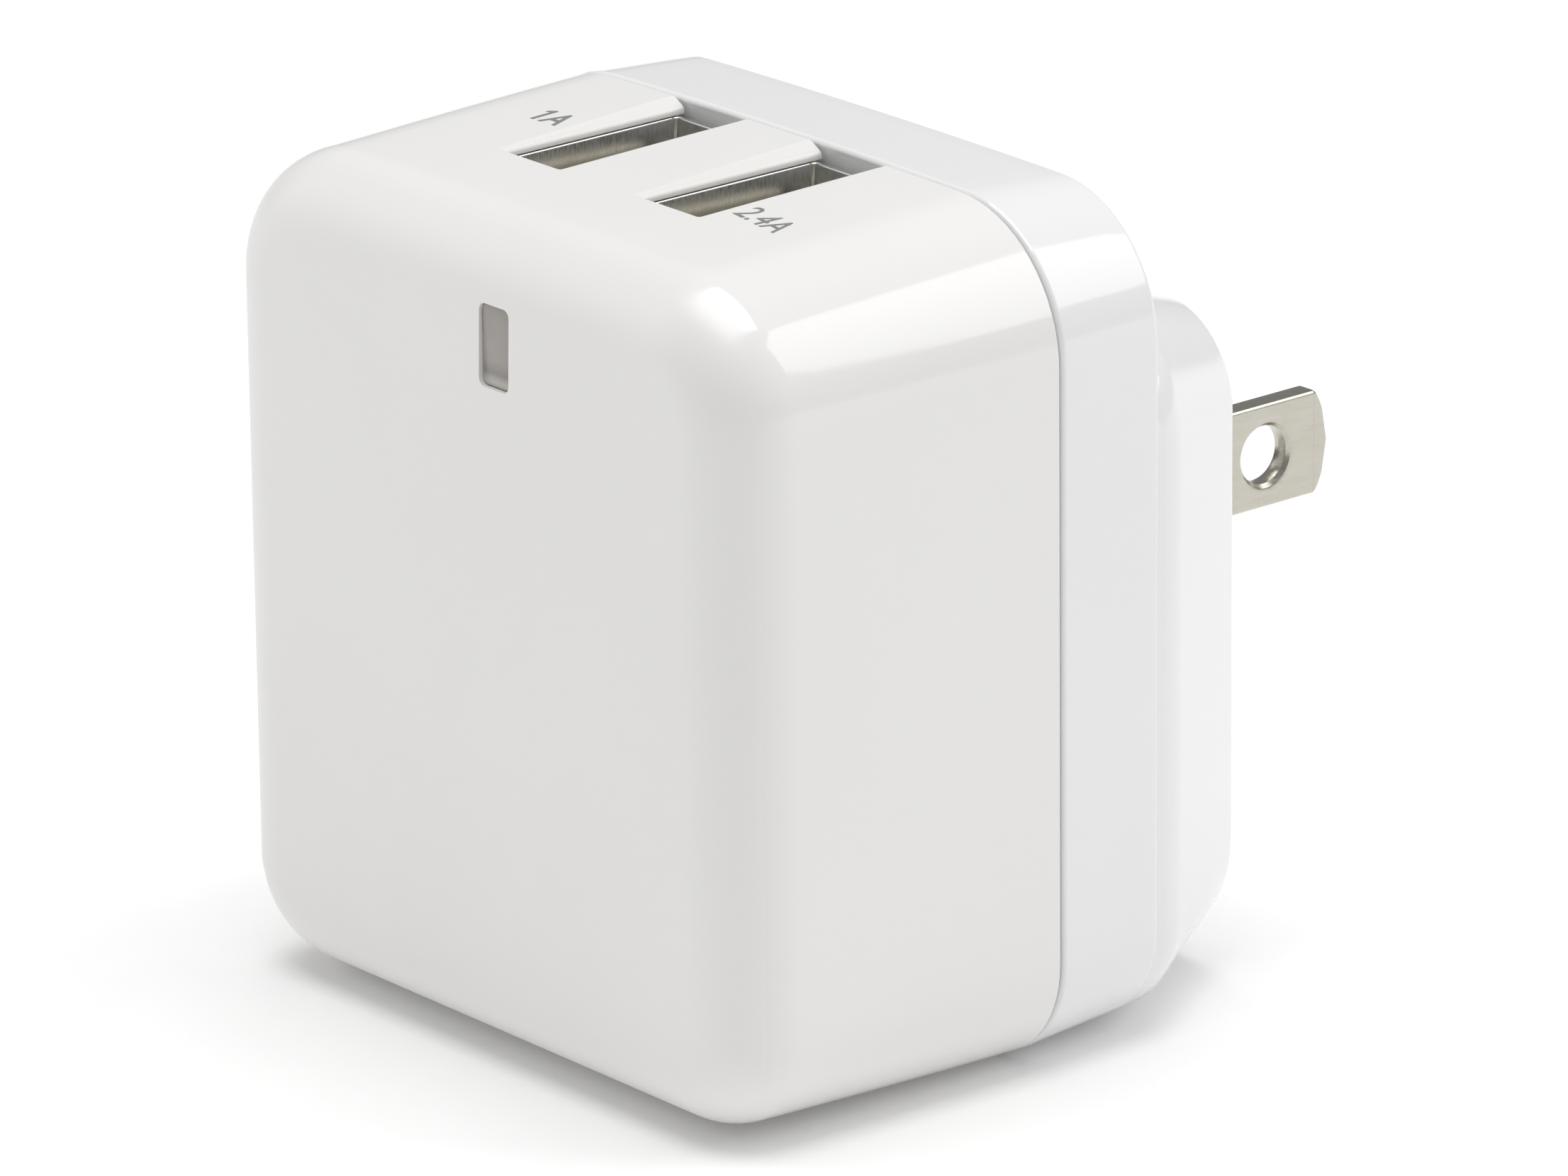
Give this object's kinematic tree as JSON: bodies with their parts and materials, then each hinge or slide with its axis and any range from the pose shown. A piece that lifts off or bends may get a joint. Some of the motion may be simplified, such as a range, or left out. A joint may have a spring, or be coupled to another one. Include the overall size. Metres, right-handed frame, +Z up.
{
  "type": "usb wall charger",
  "caption": "White cube USB wall charger: a two-part shell with USB-A sockets in the top, a small indicator window in front and a folding two-blade mains plug on a tapered back.",
  "frame": {"origin": "on the outlet face, midway between the two blades", "axes": "+Z up with the sockets on top, +Y towards the wall outlet, +X to the right seen from the indicator window"},
  "size_m": [0.0472, 0.0589, 0.0506],
  "materials": {
    "front_shell_white": "fine satin",
    "cover_white": "glossy",
    "nickel_plate": "nickel plated, bright",
    "white_nylon": "as moulded",
    "zinc_screw": "zinc plated",
    "spring_bronze": "rolled",
    "tinned_steel": "tin plated",
    "black_plastic": "as moulded",
    "ivory_lcp": "as moulded",
    "contact_gold": "gold flash",
    "smoke_lens": "grey translucent",
    "led_resin": "clear yellow",
    "board_green": "solder mask",
    "ferrite": "sintered",
    "yellow_tape": "polyester tape",
    "capacitor_sleeve": "shrink sleeve",
    "resistor_green": "flameproof coat",
    "enamel_copper": "enamelled copper",
    "disc_blue": "epoxy dip",
    "fish_paper": "calendered"
  },
  "bodies": {
    "casing": {"front_shell": "front_shell_white", "rear_cover": "cover_white", "pivot_keeper": "white_nylon", "keeper_screw_upper": "zinc_screw", "keeper_screw_lower": "zinc_screw", "contact_spring_left": "spring_bronze", "contact_spring_right": "spring_bronze", "light_pipe": "smoke_lens", "indicator_led": "led_resin", "main_board": "board_green", "usb_board": "board_green", "transformer_core_rear": "ferrite", "transformer_core_front": "ferrite", "transformer_bobbin": "black_plastic", "transformer_winding": "yellow_tape", "bulk_capacitor_upper": "capacitor_sleeve", "bulk_capacitor_lower": "capacitor_sleeve", "output_capacitor_left": "capacitor_sleeve", "output_capacitor_right": "capacitor_sleeve", "fuse_resistor": "resistor_green", "choke_core": "ferrite", "choke_winding": "enamel_copper", "bridge_rectifier": "black_plastic", "switching_controller": "black_plastic", "optocoupler": "black_plastic", "output_rectifier": "black_plastic", "safety_capacitor": "disc_blue", "insulation_sheet": "fish_paper", "board_header": "black_plastic", "port_controller": "black_plastic", "usb_can_1a": "tinned_steel", "usb_tongue_1a": "ivory_lcp", "usb_contact_1a_1": "contact_gold", "usb_contact_1a_2": "contact_gold", "usb_contact_1a_3": "contact_gold", "usb_contact_1a_4": "contact_gold", "usb_can_2a4": "tinned_steel", "usb_tongue_2a4": "ivory_lcp", "usb_contact_2a4_1": "contact_gold", "usb_contact_2a4_2": "contact_gold", "usb_contact_2a4_3": "contact_gold", "usb_contact_2a4_4": "contact_gold"},
    "plug": {"blade_left": "nickel_plate", "blade_right": "nickel_plate", "blade_carrier": "white_nylon"}
  },
  "joints": [
    {"name": "plug_fold", "type": "hinge", "parent": "casing", "child": "plug", "pos_m": [0, -0.0036, 0], "axis": [-1, 0, 0], "range_deg": [0, 90]}
  ]
}
